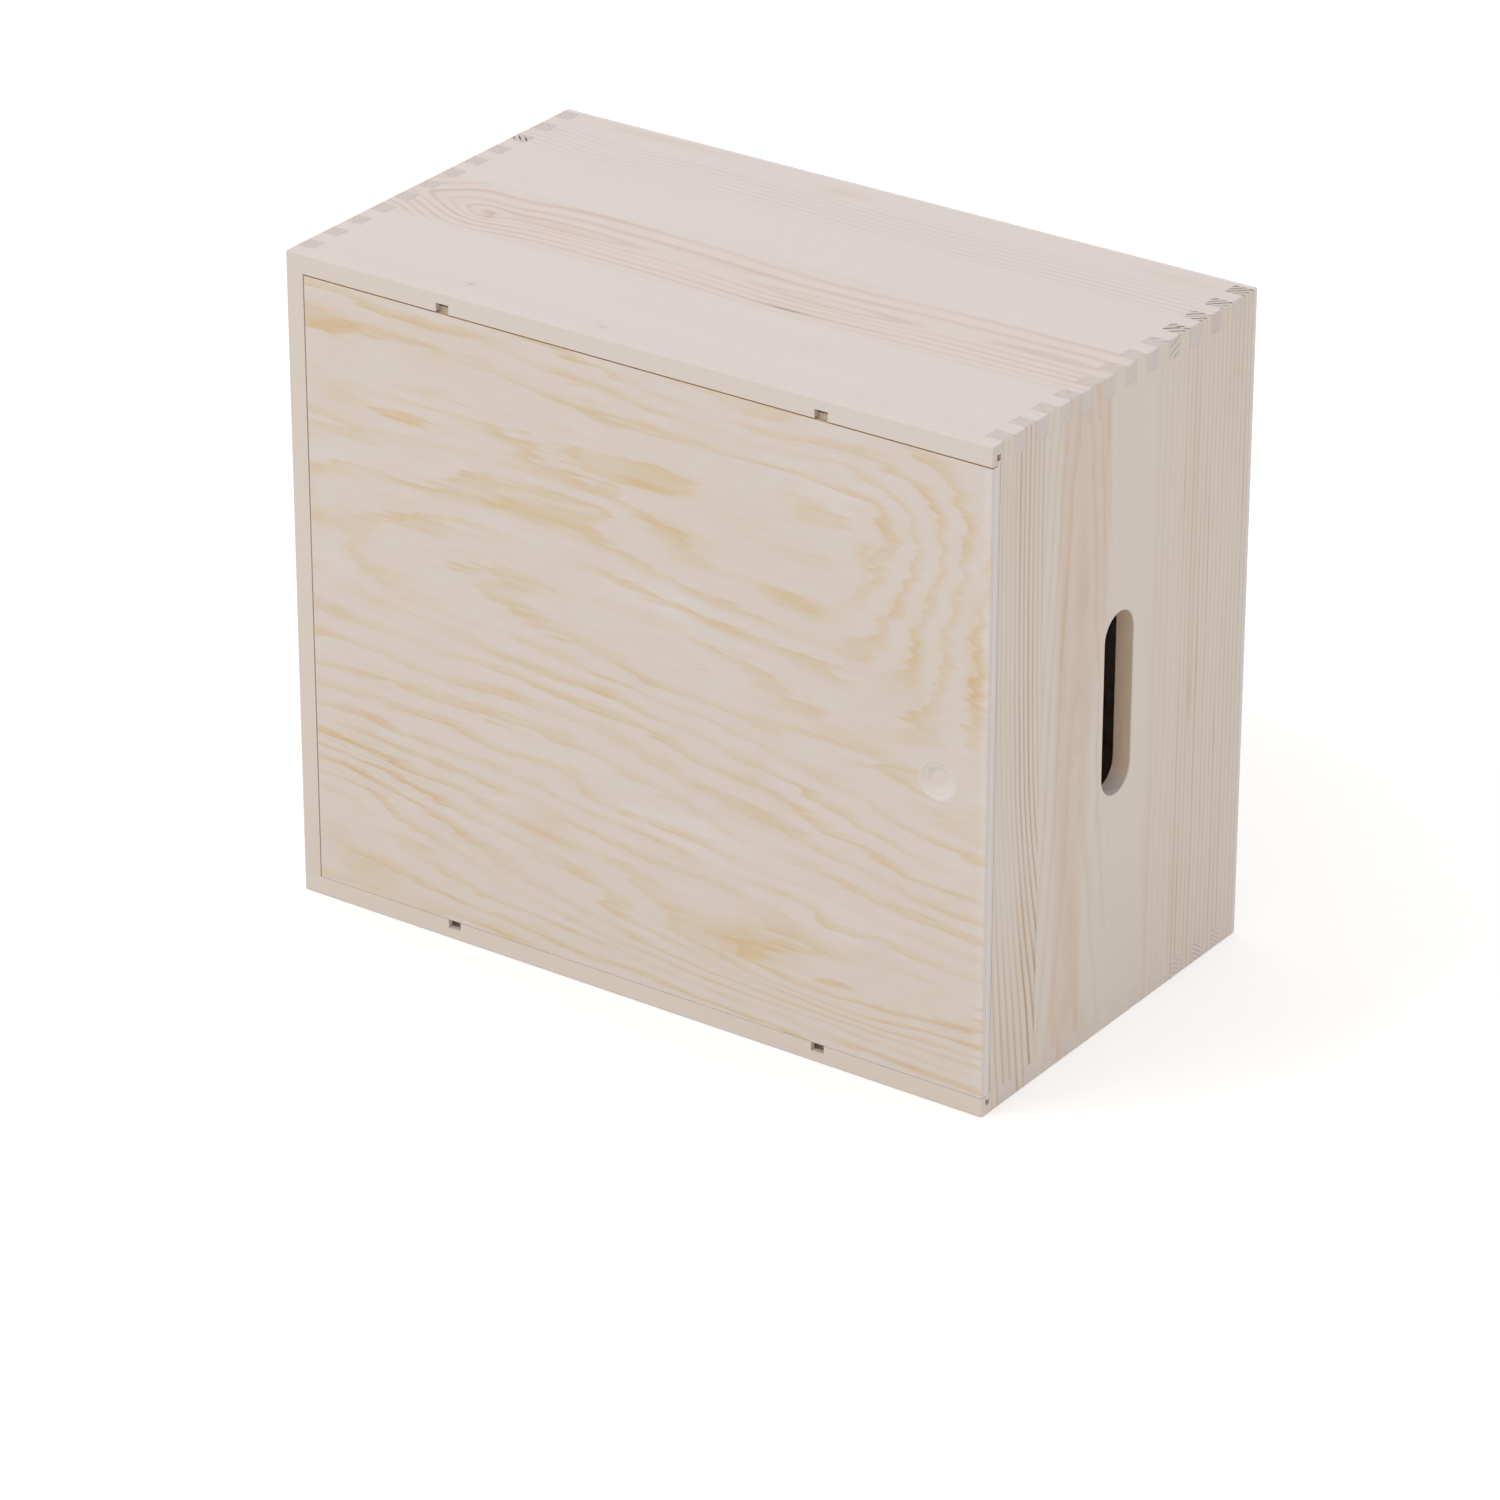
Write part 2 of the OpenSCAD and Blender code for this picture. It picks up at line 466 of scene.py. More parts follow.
def top_log(turned_over):
    """The flat-sawn board: a blushed heart with double lines and closed loops round a pin knot."""
    def log(start, place):
        x, y, z = place
        depth, along, across = HIGH.z * MM - z, x, y - LOW.y * MM
        if turned_over:
            depth, along, across = z, x * -1.0, across * -1.0 + (CARCASS_BACK - LOW.y) * MM
        wave = start.noise((along * 0.030, across * 0.08, 7.0), 3.0, 0.6) * 1.2
        heart = TOP_HEART - along.hump(30.0, 55.0) * 5.0 - along.hump(-134.0, 22.0) * 5.0
        away = across + wave - heart
        # The rings are wider behind the heart than before it, and bend round the pin knot
        reach = (away * (1.0 / RING_BEHIND)).most(away * (-1.0 / RING_BEFORE))
        bend = along.rise(-142.0, -186.0) * across.rise(125.0, 105.0) * across.rise(45.0, 62.0)
        face_rings = 0.35 - (reach * reach + 0.35).root() - bend * 2.6
        face_rings = face_rings + along.hills(across, TOP_LOOPS)
        spread = across.above(150.0) * 1.2 - across.above(56.0) * 0.5 + 1.5
        rings = (face_rings - depth * 0.30) * spread
        number = (face_rings + 0.5).whole()
        # Clear lines close to the heart, fainter ones elsewhere
        clear = across.rise(60.0, 68.0) * across.rise(113.0, 107.5)
        clear = clear * (0.62 + start.noise((along * 0.011, across * 0.09, 1.0), 2.0) * 0.55)
        uneven = start.noise((along * 0.010, across * 0.12, 4.0), 2.0) * 0.6 + 0.85
        back = across.rise(154.0, 162.0) * across.rise(186.0, 180.0) * 0.34
        front = across.hump(41.0, 8.0) * along.rise(-60.0, 10.0) * 0.26
        front = front + across.hump(10.0, 7.0) * 0.26 + 0.03
        strength = clear * 0.72 + (back + front) * uneven.most(0.0)
        blush = across.rise(58.0, 67.0) * across.rise(113.0, 106.0)
        amber = along.hills(across, TOP_AMBER)
        brown = along.hills(across, TOP_BROWN)
        if turned_over:
            striped = across.hump(47.0, 4.5) + across.hump(30.0, 4.5) + across.hump(14.5, 4.5)
            striped, end_base = striped * 0.36, written(224, 212, 204)
        else:
            striped = (across.hump(138.0, 5.0) + across.hump(171.0, 5.0)) * 0.38
            end_base = written(219, 207, 200)
        return {
            "along": along, "across": across, "depth": depth, "rings": rings, "number": number,
            "strength": strength, "end_strength": striped + 0.08,
            "tint_share": blush * 0.6, "tint": written(221, 205, 199), "ring": written(203, 177, 163),
            "amber": amber, "brown": brown, "edge": written(220, 207, 194),
            "end_base": end_base, "end_ring": written(158, 136, 126),
        }
    return log


# The side boards' glue lines, from the front edge, and how far the handle slot's wall is from the
# slot's middle, across and along the grain, in millimetres
SIDE_GLUE = (39.5, 124.0, 147.0)
SLOT_ACROSS = 12.0
SLOT_ALONG = 43.3
# Where the side boards are amber, read from the front and from the bottom, and their brown streaks
SIDE_AMBER = (
    ((56, 200), (4, 52), 0.75), ((87, 262), (3, 40), 0.6), ((59, 112), (4, 30), 0.5),
    ((66, 62), (5, 26), 0.85), ((55, 24), (3, 24), 0.4), ((72, 30), (2.5, 30), 0.5),
    ((71, 214), (6, 12), 0.45), ((69, 168), (5, 8), 0.45), ((64, 146), (5, 6), 0.4),
    ((126, 60), (3, 55), 0.45), ((149, 35), (4, 30), 0.55), ((157, 135), (2.5, 30), 0.5),
    ((157, 235), (3, 60), 0.4), ((22, 270), (2, 60), 0.4), ((30, 75), (3, 22), 0.5),
    ((18, 20), (6, 18), 0.4), ((186, 270), (3, 30), 0.3),
)
SIDE_BROWN = (
    ((157.5, 137), (0.8, 14), 0.3), ((179, 107), (0.8, 12), 0.25), ((163, 150), (0.7, 20), 0.2),
    ((39, 58), (0.8, 22), 0.3),
)


def side_log(mirrored):
    """The edge-glued side board: four staves with a glue line between each two."""
    def log(start, place):
        x, y, z = place
        depth, along, across = HIGH.x * MM - x, z, y - LOW.y * MM
        if mirrored:
            depth, along = x - LOW.x * MM, z * -1.0 + HIGH.z * MM
        wave = start.noise((along * 0.012, across * 0.04, 1.0), 2.0, 0.5)
        fine = start.noise((along * 0.035, across * 0.10, 9.0), 2.0, 0.55)
        second, third, fourth = (across.above(line) for line in SIDE_GLUE)

        # First stave: straight close rings that spread and sweep back towards the bottom
        fall = (290.0 - along).most(0.0) * (1.0 / 235.0)
        sweep = 2.0 if mirrored else 10.0
        swept = across - start.math("POWER", fall, 2.2) * sweep + wave * 0.5 + fine * 0.3
        first_rings = swept * (0.30 - along.rise(150.0, 20.0) * 0.10) + 0.7 - depth * 0.12
        streaky = start.noise((along * 0.008, swept * 0.35, 3.0), 2.0)
        first_strength = 0.20 + swept.rise(14.0, 19.0) * 0.32 + along.rise(110.0, 40.0) * 0.35
        first_strength = first_strength + streaky * 0.35 + swept.hump(21.0, 2.0) * 0.4
        first_strength = (first_strength + swept.hump(29.0, 4.0) * 0.3).most(0.05)
        if mirrored:
            first_strength = first_strength * across.rise(0.0, 12.0)

        # Second stave: a tall arch, open upwards, with plain wood behind it
        feather = start.noise((along * 0.10, across * 0.35, 2.0), 3.0, 0.6)
        away = (across - 69.0 + wave * 4.0 + fine * 2.0) / 1.05
        lift = 24.0 - along.rise(20.0, 300.0) * 16.0 + wave * 2.0
        reach = (away * away + lift * lift).root()
        second_rings = reach * 0.19 + along * 0.018 + fine * 0.3 + feather * 0.2 + depth * 0.15
        second_strength = across.rise(98.0, 84.0) * (0.14 + fine * 0.16).most(0.0) + 0.02

        third_rings = (across + wave * 1.5) * 0.22 + depth * 0.2
        fourth_rings = (across + wave * 0.8 + fine * 0.4) * 0.296 + depth * 0.29
        fourth_strength = 0.34 + start.noise((along * 0.012, across * 0.25, 5.0), 2.0) * 0.5

        def by_stave(values):
            total = values[0]
            for value, stave in zip(values[1:], (second, third, fourth)):
                total = stave * (value - total) + total
            return total

        rings = by_stave((first_rings, second_rings, third_rings, fourth_rings))
        strength = by_stave((first_strength, second_strength, 0.12, fourth_strength))
        low_edge = 74.0 + along.rise(120.0, 200.0) * 14.0
        blush = across.rise(49.0, 54.0) * (low_edge - across).rise(-3.0, 3.0)
        blush = blush * (0.62 + feather * 0.35)
        tint = by_stave((0.10 + wave * 0.2, blush, 0.15 + fine * 0.15, 0.15 + fine * 0.15))

        # The handle slot's wall, which takes a painted warm bounce light standing in for the lit shade
        # inside the slot, and the ends of the fingers
        aside = abs(across - (CARCASS_BACK - LOW.y) * MM / 2)
        above = abs(along - (HIGH.z - LOW.z) * MM / 2)
        inside = aside.rise(SLOT_ACROSS + 0.2, SLOT_ACROSS - 0.2)
        inside = inside * above.rise(SLOT_ALONG + 0.2, SLOT_ALONG - 0.2) * depth.rise(0.4, 0.9)
        if mirrored:
            dark_ends = across.hump(161.5, 1.8)
        else:
            dark_ends = across.rise(136.0, 142.0) + across.hump(131.0, 2.0) * 0.4
        return {
            "along": along, "across": across, "depth": depth, "rings": rings,
            "number": (rings + 0.5).whole() + second * 20.0 + third * 20.0 + fourth * 20.0,
            "strength": strength,
            "end_strength": dark_ends + 0.07,
            # The slot's wall takes the peach colour fully: painted warm bounce light
            "tint_share": (tint + inside).held(),
            "tint": inside.mix(written(220, 200, 184), written(244, 206, 158)),
            "ring": written(190, 162, 134), "edge": written(218, 204, 191),
            "amber": across.hills(along, SIDE_AMBER), "brown": across.hills(along, SIDE_BROWN),
            "end_base": written(211, 200, 195), "end_ring": written(104, 60, 50),
        }
    return log


# Plywood

# The two casts that the plywood's pale wood drifts between
PLY_PALE = written(226, 217, 213)
PLY_PINK = written(217, 199, 184)
# The warmer parts of the bands, and the thin late line where the rings are close
ORANGE_BAND = written(215, 183, 143)
PLY_LINE = written(192, 156, 112)
# The cut edge's plies and glue lines, and the painted warm shade on the lid's top edge, which shows as
# the light brown seam above the lid
FACE_PLY = written(222, 212, 208)
CORE_PLY = written(228, 219, 214)
PLY_GLUE = written(168, 148, 134)
SEAM_PAINTED_SHADE = written(218, 182, 134)

# The lid's grain: the middle, spread and height of each swelling or hollow of its rings, in this
# order: the long eye, the crowded top edge, the loop's closed right end, its sloping upper arm, the
# eye's closed left tip, the small eye low down, the crowded bottom edge, the close lines at the
# lower left, the pale place under the middle, the loop's far left, three long streaks inside it
# and its level right end
LID_HILLS = (
    ((0, 168), (130, 26), 1.7), ((-60, 340), (320, 55), 13.0), ((200, 250), (62, 85), 7.0),
    ((75, 292), (80, 26), 2.6), ((-215, 184), (55, 34), -1.6), ((95, 38), (105, 15), 3.0),
    ((-60, -22), (170, 45), -2.6), ((-190, 52), (95, 34), -3.2), ((20, 92), (60, 16), 0.8),
    ((-190, 262), (50, 20), 0.8), ((-115, 246), (58, 8), 1.4), ((20, 251), (50, 8), 1.3),
    ((-40, 229), (60, 7), 1.0), ((88, 243), (26, 12), 0.6),
)
# Where the lid is amber, where its rings are close, and where its wood is pale
LID_AMBER = (
    ((10, 249), (22, 6), 0.55), ((30, 227), (20, 5), 0.45), ((55, 46), (28, 8), 0.75),
    ((-56, 218), (22, 4), 0.5), ((-143, 21), (18, 6), 0.6), ((-153, 247), (12, 5), 0.55),
    ((-168, 186), (9, 5), 0.5), ((-45, 70), (14, 6), 0.35), ((144, 198), (5, 20), 0.4),
    ((172, 210), (4, 22), 0.4), ((-160, 82), (18, 2), 0.5), ((95, 211), (10, 4), 0.4),
    ((-75, 12), (14, 4), 0.3), ((118, 243), (5, 9), 0.4), ((80, 214), (16, 4), 0.3),
)
LID_CLOSE = (
    ((-145, 78), (40, 24), 1.0), ((150, 106), (40, 14), 0.5), ((-90, 283), (80, 12), 0.5),
    ((150, 40), (50, 20), 0.6), ((20, 22), (70, 8), 0.3), ((20, 120), (60, 14), 0.3),
)
LID_PALE = (
    ((19, 195), (22, 9), 1.0), ((-31, 214), (16, 7), 0.7), ((22, 91), (30, 10), 1.0),
    ((110, 66), (22, 10), 0.6), ((-160, 170), (14, 8), 0.4), ((105, 262), (30, 14), 0.6),
)


# The crest between the lid's eye and loop: its height at the left and its fall to the right, and
# half the thickness of the eye's level middle, in millimetres, with the rings in each millimetre
LID_CREST = 186.0
LID_CREST_FALL = 52.0
LID_EYE = 22.0
LID_CLOSENESS = 0.08
# Where the paler wood of the recess starts, from its middle, in millimetres
RECESS_RIM = 9.9


def lid_log(dish):
    """The lid's rings: an eye closed on the left under a loop closed on the right, then waves."""
    def log(start, across, up):
        top = HIGH.z * MM
        crest = LID_CREST - across.rise(-60.0, 185.0) * LID_CREST_FALL
        below = up * LID_CREST / crest - LID_CREST
        away = below.least((up - crest) * (top - LID_CREST) / (top - crest))
        rings = 0.95 - (away * away + LID_EYE ** 2).root() * LID_CLOSENESS
        rings = rings + across.hills(up, LID_HILLS)
        wave = start.noise((across * 0.018, up * 0.08, 2.0), 2.0, 0.6) * 0.65
        jag = start.noise((across * 0.022, up * 0.34, 6.0), 4.0, 0.65) * 0.42

        # The recess is cut into paler wood free of bands, and the lid's right end is rubbed pale
        right, above = across - dish.x * MM, up - dish.z * MM
        reach = (right * right + above * above).root()
        pale = reach.rise(RECESS_RIM, 8.6) * 1.3
        pale = pale + across.hills(up, LID_PALE) + across.rise(174.5, 177.5) * 0.8
        # seam picks out the lid's top edge, which takes a painted warm shade
        return {"rings": rings + wave + jag, "amber": across.hills(up, LID_AMBER),
                "close": across.hills(up, LID_CLOSE), "pale": pale,
                "bare": reach.rise(RECESS_RIM, 8.9) * 0.85, "seam": up.rise(296.4, 297.0)}
    return log


def plain_log(shift, slope, hills):
    """Gently waving rings for a panel or plate whose face the photograph hides."""
    def log(start, across, up):
        wave = start.noise((across * 0.010 + shift, up * 0.022, 1.0), 2.0, 0.45) * 1.1
        wave = wave + start.noise((across * 0.045 + shift, up * 0.16, 4.0), 3.0, 0.6) * 0.2
        rings = up * slope + wave + across.hills(up, hills)
        return {"rings": rings, "amber": wave * 0.1, "close": wave * 0.3, "pale": wave * -0.2,
                "bare": 0.0, "seam": up * 0.0}
    return log


def ply_wood(name, base, band, log, shift, thin_axis, low, thickness):
    """Rotary-cut plywood: bands where the face cuts the rings, and three plies on its edges."""
    material, start, place = new_material(name)
    x, y, z = place
    across, up = (x, y)[thin_axis == 0], z
    facts = log(start, across, up)
    rings = facts["rings"]
    number = (rings + 0.5).whole()
    patch = start.noise((across * 0.013 + shift, up * 0.03, number * 1.7), 2.0, 0.6)
    fibre = start.noise((across * 0.03, up * 1.3, y * 1.3), 3.0, 0.6)
    hair = start.noise((across * 0.16, up * 6.0, y * 6.0), 2.0, 0.6)
    cloud = start.noise((across * 0.012 + 3.0, up * 0.03, shift), 2.0)
    blotch = start.noise((across * 0.035 + 8.0, up * 0.09, shift), 2.0)
    other = start.noise((across * 0.02 + 9.0, up * 0.05, number * 2.3 + shift), 2.0, 0.6)
    streak = start.noise((across * 0.014, up * 0.42, y * 0.42 + shift), 3.0, 0.6)
    # Each year: a soft skirt that ends in a sharper lower edge, broken up along the fibres
    thin = ring_line(rings, 0.07, 0.15)
    skirt = ring_line(rings, 0.16, 0.62)
    broken = (0.46 + patch * 1.0).most(0.06) * (1.0 + streak * 0.7 + fibre * 0.4).most(0.0)
    line = (skirt * skirt * 0.86 + skirt * 0.12) * broken
    between = ring_line(rings * 2.0 + 0.5, 0.16, 0.40) * (0.10 + other * 0.9).most(0.0)
    thread = ring_line(rings * 3.0 + 0.4, 0.2, 0.45) * facts["close"].most(0.0)
    thread = thread * (0.45 + patch * 0.6).most(0.0)
    share = line + between * 0.5 + thread * 0.7 + facts["amber"] * (0.8 + streak * 0.5 + fibre * 0.3)
    share = (share + fibre * 0.09).held() * (1.0 - facts["bare"])
    colour = (facts["pale"] * 0.6 + blotch * 0.45).held().mix(base, PLY_PALE)
    colour = (-blotch * 0.5).held().mix(colour, PLY_PINK)
    warm = (other * 0.9 + 0.25 + facts["close"] * 0.3).held()
    colour = share.mix(colour, warm.mix(band, ORANGE_BAND))
    edge_line = thin * broken * facts["close"] * 0.5 * (1.0 - facts["bare"])
    colour = edge_line.held().mix(colour, PLY_LINE)
    colour = streaked(colour, fibre * 0.03 + hair * 0.02 + cloud * 0.03, PLY_LIGHT)

    # The edge: two face plies with a crossed core between them
    level = abs(((x, y, z)[thin_axis] - low) / thickness - 0.5)
    core = level.rise(0.23, 0.2)
    edge = 1.0 - facing(start, thin_axis).rise(*SQUARELY)
    speck = start.noise((x * 4.0, y * 4.0, z * 4.0), 2.0, 0.7)
    plies = pored(core.mix(FACE_PLY, CORE_PLY), speck)
    glue = level.rise(0.19, 0.215) * level.rise(0.24, 0.215)
    plies = (glue * 0.35).mix(plies, PLY_GLUE)
    # The lid's top edge, down in the seam under the lip, gets a painted warm shade
    seam = facts["seam"] * level.rise(0.1, 0.2) * facing(start, 2).rise(0.5, 0.8)
    plies = seam.mix(plies, SEAM_PAINTED_SHADE)
    colour = edge.mix(colour, plies)

    height = 0.5 + hair * 0.25 + fibre * 0.25
    rough = 0.52 + share * 0.05 + edge * 0.15 + hair * 0.04
    finish_wood(start, colour, rough, height, PLY_BUMP)
    return material


# Operators

class WINEBOX_OT_top_board(bpy.types.Operator):
    """Dress the top board"""
    bl_idname = "winebox.top_board"
    bl_label = "Top board"

    def execute(self, context):
        carcass, wood = context.scene.winebox_carcass, context.scene.winebox_wood
        shape = merged_copy("top_board")
        ease_edges(shape, carcass)
        material = pine_wood("Pale pine", wood, wood.top_pine[:], 0, top_log(False))
        place_piece(shape, "top_board", material, carcass)
        return {"FINISHED"}


class WINEBOX_OT_bottom_board(bpy.types.Operator):
    """Dress the bottom board"""
    bl_idname = "winebox.bottom_board"
    bl_label = "Bottom board"

    def execute(self, context):
        carcass, wood = context.scene.winebox_carcass, context.scene.winebox_wood
        shape = merged_copy("bottom_board")
        ease_edges(shape, carcass)
        material = pine_wood("Pine, bottom", wood, wood.side_pine[:], 0, top_log(True))
        place_piece(shape, "bottom_board", material, carcass)
        return {"FINISHED"}


class WINEBOX_OT_side_boards(bpy.types.Operator):
    """Dress both side boards with their handle slots"""
    bl_idname = "winebox.side_boards"
    bl_label = "Side boards"

    def execute(self, context):
        carcass, wood = context.scene.winebox_carcass, context.scene.winebox_wood
        middle = Vector((0.0, (LOW.y + CARCASS_BACK) / 2, (LOW.z + HIGH.z) / 2))

        def slot_width(edge):
            away = (edge.verts[0].co + edge.verts[1].co) / 2 - middle
            inside = abs(away.y) < SLOT_NEAR[0] and abs(away.z) < SLOT_NEAR[1]
            return carcass.slot_edge if inside else lip_edge(edge)

        for node, mirrored in (("left_side", True), ("right_side", False)):
            shape = merged_copy(node)
            ease_edges(shape, carcass, slot_width)
            material = pine_wood("Pine, " + node.replace("_", " "), wood, wood.side_pine[:], 2,
                                 side_log(mirrored))
            place_piece(shape, node, material, carcass)
        return {"FINISHED"}


class WINEBOX_OT_back_panel(bpy.types.Operator):
    """Dress the plywood back panel"""
    bl_idname = "winebox.back_panel"
    bl_label = "Back panel"

    def execute(self, context):
        carcass, wood = context.scene.winebox_carcass, context.scene.winebox_wood
        shape = merged_copy("back_panel")
        ease_edges(shape, carcass)
        log = plain_log(4.3, 0.055, (((-60, 190), (110, 45), 2.6), ((90, 80), (90, 40), -2.2)))
        material = ply_wood("Back plywood", wood.plywood[:], wood.band[:], log, 4.3, 1,
                            CARCASS_BACK * MM, (HIGH.y - CARCASS_BACK) * MM)
        place_piece(shape, "back_panel", material, carcass)
        return {"FINISHED"}


# The turned pull recess: points on its section and around it, and the depths of its shoulder and
# its middle
DISH_STEPS = 24
DISH_TURNS = 64
DISH_SHOULDER = 0.0009
DISH_DEPTH = 0.0022
# Where the shoulder ends, and where the middle starts and ends, as shares of the recess's radius
SHOULDER_END = 0.7
MIDDLE_START = 0.72
MIDDLE_END = 0.38
# The recess in the solid lies within this plane and radius, and its facets are smaller than this
# area in square metres
DISH_FLOOR = LOW.y + 0.0026
DISH_REACH = 0.011
DISH_FACET = 0.0001


def smooth_step(start, end, value):
    share = min(max((value - start) / (end - start), 0.0), 1.0)
    return share * share * (3.0 - 2.0 * share)


def dish_again(shape):
    """Turns the lid's pull recess anew, with an eased rim, a shoulder and a deeper middle."""
    shape.normal_update()
    old = [face for face in shape.faces
           if all(vert.co.y < DISH_FLOOR for vert in face.verts) and face.normal.y < -0.3]
    dished = [vert.co.copy() for face in old for vert in face.verts
              if LOW.y + ON_PLANE < vert.co.y < DISH_FLOOR]
    rim_places = [vert.co.copy() for face in old if face.calc_area() < DISH_FACET
                  for vert in face.verts]
    middle = Vector([(min(place[axis] for place in dished)
                      + max(place[axis] for place in dished)) / 2 for axis in range(3)])
    bmesh.ops.delete(shape, geom=old, context="FACES")
    outline = [edge for edge in shape.edges if edge.is_boundary]

    radius = max((place - middle).xz.length for place in rim_places)
    profile = []
    for step in range(DISH_STEPS + 1):
        share = 1.0 - step / DISH_STEPS
        depth = DISH_SHOULDER * smooth_step(1.0, SHOULDER_END, share)
        depth += (DISH_DEPTH - DISH_SHOULDER) * smooth_step(MIDDLE_START, MIDDLE_END, share)
        profile.append(shape.verts.new((middle.x + radius * share, LOW.y + depth, middle.z)))
    strip = [shape.edges.new(pair) for pair in zip(profile, profile[1:])]
    bmesh.ops.spin(shape, geom=profile + strip, cent=(middle.x, 0.0, middle.z),
                   axis=(0.0, 1.0, 0.0), dvec=(0.0, 0.0, 0.0),
                   angle=2 * math.pi, steps=DISH_TURNS, use_merge=True)
    around = [vert for vert in shape.verts
              if (vert.co - middle).xz.length < DISH_REACH and vert.co.y < DISH_FLOOR]
    bmesh.ops.remove_doubles(shape, verts=around, dist=JOIN)
    rim = [edge for edge in shape.edges if edge.is_boundary and edge not in outline
           and on_plane(edge, 1, LOW.y)]
    bmesh.ops.triangle_fill(shape, edges=outline + rim, use_beauty=True,
                            normal=(0.0, -1.0, 0.0))
    bmesh.ops.recalc_face_normals(shape, faces=shape.faces)
    return middle


class WINEBOX_OT_lid(bpy.types.Operator):
    """Dress the sliding lid with its dished pull recess"""
    bl_idname = "winebox.lid"
    bl_label = "Sliding lid"

    def execute(self, context):
        carcass, wood = context.scene.winebox_carcass, context.scene.winebox_wood
        shape = merged_copy("sliding_lid")
        dish = dish_again(shape)
        ease_edges(shape, carcass)
        material = ply_wood("Lid plywood", wood.plywood[:], wood.band[:], lid_log(dish), 0.0, 1,
                            LOW.y * MM, LID_THICKNESS * MM)
        place_piece(shape, "sliding_lid", material, carcass)
        return {"FINISHED"}


class WINEBOX_OT_dividers(bpy.types.Operator):
    """Dress the six plates of the two dividers"""
    bl_idname = "winebox.dividers"
    bl_label = "Dividers"

    def execute(self, context):
        carcass, wood = context.scene.winebox_carcass, context.scene.winebox_wood
        for node in DIVIDERS:
            low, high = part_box(node)
            shape = merged_copy(node)
            ease_edges(shape, carcass)
            shift = 2.0 + DIVIDERS.index(node) * 1.3
            log = plain_log(shift, 0.075, (((10, 150), (60, 60), 1.6),))
            material = ply_wood("Divider plywood, " + node.replace("_", " "), wood.divider[:],
                                wood.divider_band[:], log, shift, 0, low.x * MM,
                                (high.x - low.x) * MM)
            place_piece(shape, node, material, carcass)
        return {"FINISHED"}


# The floor's reach each way, its shade, and how far it glows to the camera
FLOOR_SIZE = 6.0
FLOOR_SHADE = (0.8, 0.8, 0.8, 1)
FLOOR_GLOW = 0.35
WHITE = (1, 1, 1, 1)
# The camera's heading, fall and roll in degrees, its place in metres, its sensor in millimetres and
# how far it sees in metres
CAMERA_TURN = (-34.9787, 26.5056, 0.0492)
CAMERA_PLACE = (1.544194, -2.220558, 1.428144)
CAMERA_SENSOR = 36
CAMERA_END = 50


def soft_lamp(name, place, target, size, power):
    """A square lamp at a place, turned towards a target."""
    lamp = bpy.data.lights.new(name, "AREA")
    lamp.shape = "SQUARE"
    lamp.size = size
    lamp.energy = power
    holder = bpy.data.objects.new(name, lamp)
    bpy.context.scene.collection.objects.link(holder)
    holder.location = place
    holder.rotation_euler = (Vector(target) - Vector(place)).to_track_quat("-Z", "Y").to_euler()


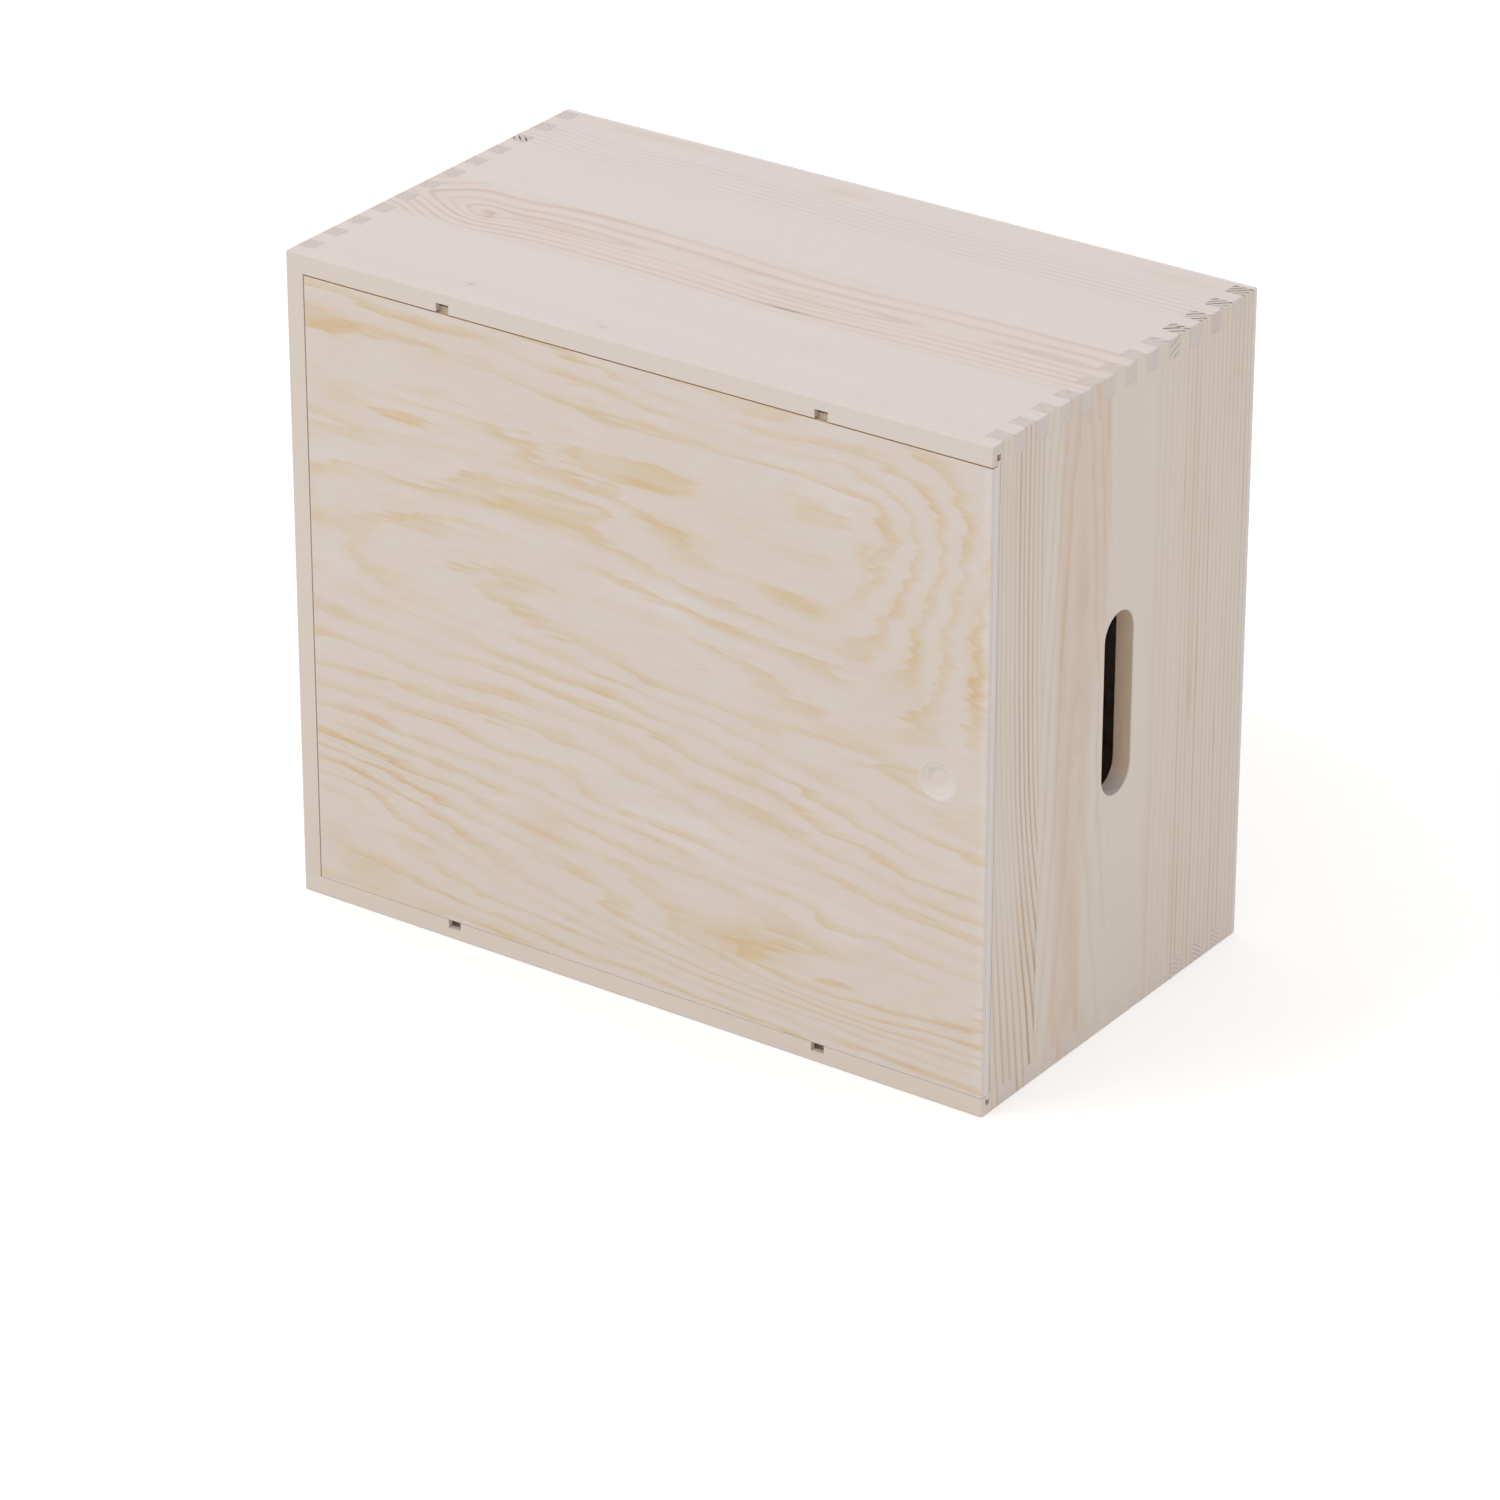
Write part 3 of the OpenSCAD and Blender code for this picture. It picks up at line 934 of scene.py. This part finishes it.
class WINEBOX_OT_stage(bpy.types.Operator):
    """Set up the floor, the light and the camera"""
    bl_idname = "winebox.stage"
    bl_label = "Stage"

    def execute(self, context):
        scene = context.scene
        stage = scene.winebox_stage
        scene.view_settings.view_transform = "Standard"

        # Floor: white to the camera, apart from the box's soft shadow
        shape = bmesh.new()
        bmesh.ops.create_grid(shape, x_segments=1, y_segments=1, size=FLOOR_SIZE)
        mesh = bpy.data.meshes.new("floor")
        shape.to_mesh(mesh)
        shape.free()
        floor = bpy.data.objects.new("floor", mesh)
        scene.collection.objects.link(floor)
        material = bpy.data.materials.new("Floor")
        material.use_nodes = True
        tree = material.node_tree
        tree.nodes.clear()
        start = Wire(tree)
        sight = start.node("ShaderNodeLightPath", None, None, "Is Camera Ray")
        paper = start.node("ShaderNodeBsdfDiffuse", None, {"Color": FLOOR_SHADE})
        glow = start.node("ShaderNodeEmission", None,
                          {"Color": WHITE, "Strength": sight * FLOOR_GLOW})
        both = start.node("ShaderNodeAddShader", None, {0: paper, 1: glow})
        start.node("ShaderNodeOutputMaterial", None, {"Surface": both})
        mesh.materials.append(material)

        world = bpy.data.worlds.new("Studio")
        scene.world = world
        world.use_nodes = True
        tree = world.node_tree
        tree.nodes.clear()
        start = Wire(tree)
        rays = start.node("ShaderNodeLightPath", None, None, 0).socket.node
        seen = Wire(tree, rays.outputs["Is Camera Ray"])
        for ray in ("Is Glossy Ray", "Is Transmission Ray"):
            seen = seen.most(Wire(tree, rays.outputs[ray]))
        backdrop = start.node("ShaderNodeBackground", None, {
            "Color": WHITE, "Strength": stage.sky + seen * (1.0 - stage.sky)})
        start.node("ShaderNodeOutputWorld", None, {"Surface": backdrop})

        soft_lamp("Key softbox", place=(-1.6, -2.2, 2.6), target=(0, 0, 0.15), size=1.8, power=24.0)

        camera = bpy.data.cameras.new("Camera")
        camera.lens = stage.lens
        camera.sensor_width = CAMERA_SENSOR
        camera.clip_end = CAMERA_END
        holder = bpy.data.objects.new("Camera", camera)
        scene.collection.objects.link(holder)
        holder.matrix_world = camera_place()
        scene.camera = holder
        return {"FINISHED"}


def camera_place():
    """Where the camera stands and how it is turned."""
    heading, fall, roll = (math.radians(angle) for angle in CAMERA_TURN)
    turn = Matrix.Rotation(-heading, 4, "Z") @ Matrix.Rotation(math.pi / 2 - fall, 4, "X")
    return Matrix.Translation(CAMERA_PLACE) @ turn @ Matrix.Rotation(roll, 4, "Z")


class WINEBOX_PT_panel(bpy.types.Panel):
    """The wine box's pieces and settings"""
    bl_idname = "WINEBOX_PT_panel"
    bl_label = "Wine box"
    bl_space_type = "VIEW_3D"
    bl_region_type = "UI"
    bl_category = "Wine box"

    def draw(self, context):
        for group in (context.scene.winebox_carcass, context.scene.winebox_wood,
                      context.scene.winebox_stage):
            box = self.layout.box()
            for name in group.__annotations__:
                box.prop(group, name)
        for operator in OPERATORS:
            self.layout.operator(operator.bl_idname)


GROUPS = (
    ("winebox_carcass", WineBoxCarcass),
    ("winebox_wood", WineBoxWood),
    ("winebox_stage", WineBoxStage),
)
OPERATORS = (
    WINEBOX_OT_top_board, WINEBOX_OT_bottom_board, WINEBOX_OT_side_boards,
    WINEBOX_OT_back_panel, WINEBOX_OT_lid, WINEBOX_OT_dividers, WINEBOX_OT_stage,
)


def register():
    for name, group in GROUPS:
        bpy.utils.register_class(group)
        setattr(bpy.types.Scene, name, bpy.props.PointerProperty(type=group))
    for operator in OPERATORS:
        bpy.utils.register_class(operator)
    bpy.utils.register_class(WINEBOX_PT_panel)


def unregister():
    bpy.utils.unregister_class(WINEBOX_PT_panel)
    for operator in reversed(OPERATORS):
        bpy.utils.unregister_class(operator)
    for name, group in reversed(GROUPS):
        delattr(bpy.types.Scene, name)
        bpy.utils.unregister_class(group)


def main():
    register()
    bpy.ops.winebox.top_board()
    bpy.ops.winebox.bottom_board()
    bpy.ops.winebox.side_boards()
    bpy.ops.winebox.back_panel()
    bpy.ops.winebox.lid()
    bpy.ops.winebox.dividers()
    bpy.ops.winebox.stage()


if __name__ == "__main__":
    main()
